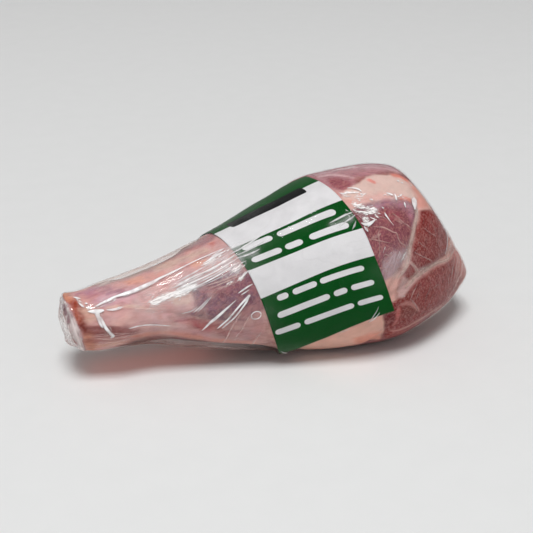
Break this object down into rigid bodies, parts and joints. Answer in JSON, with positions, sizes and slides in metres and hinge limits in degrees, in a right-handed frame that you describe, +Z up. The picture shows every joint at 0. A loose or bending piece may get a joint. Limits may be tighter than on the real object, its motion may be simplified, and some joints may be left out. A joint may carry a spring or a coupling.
{
  "type": "raw leg of lamb in clear film",
  "caption": "Raw bone-in leg of lamb, wrapped tight in clear film with a printed paper label round the thigh, lying on its side.",
  "frame": {"origin": "middle of the wrapped leg's box, on the surface that it rests on", "axes": "+X along the leg, from the sawn shank end to the rump; +Y away from the labelled side; +Z up"},
  "size_m": [0.3455, 0.1319, 0.1469],
  "materials": {
    "meat": "moist raw meat, fat and silverskin seen through glossy clear film",
    "film": "thin glossy clear wrap with stretch wrinkles",
    "bone": "sawn bone and marrow under film",
    "label": "satin printed paper in green and white bands"
  },
  "bodies": {
    "root": {"wrapped_leg": "meat", "label": "label"}
  },
  "joints": []
}
